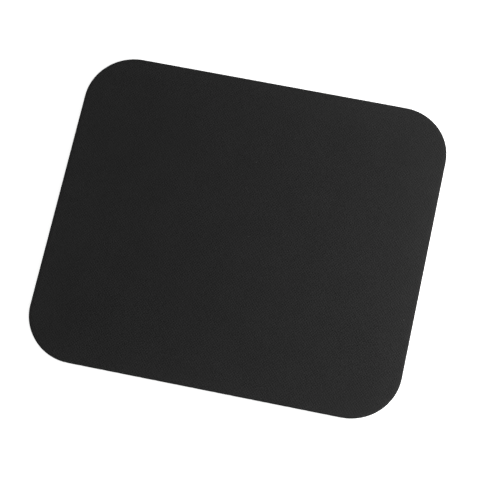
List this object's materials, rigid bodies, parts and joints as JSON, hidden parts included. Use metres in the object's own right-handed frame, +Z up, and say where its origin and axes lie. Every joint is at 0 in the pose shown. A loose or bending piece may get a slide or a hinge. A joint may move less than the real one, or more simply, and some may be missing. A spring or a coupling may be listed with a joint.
{
  "type": "mouse pad",
  "caption": "Rectangular desk mouse pad with large rounded corners: black knitted cloth bonded to foam rubber, with a treaded non-slip rubber base.",
  "frame": {"origin": "centre of the underside, on the plane where the tread lies on the desk", "axes": "+X along the long side, +Y towards the back edge, +Z up out of the working face"},
  "size_m": [0.25, 0.22, 0.003],
  "materials": {
    "cover_cloth": "black polyester jersey, fine knit, matt with a faint sheen",
    "bonding_film": "milky hot-melt adhesive film",
    "foam_core": "black closed-cell foam rubber, open cells on the cut wall",
    "grip_base": "black moulded rubber with a shallow wavy tread"
  },
  "bodies": {
    "pad": {"cover_cloth": "cover_cloth", "bonding_film": "bonding_film", "foam_core": "foam_core", "grip_base": "grip_base"}
  },
  "joints": []
}
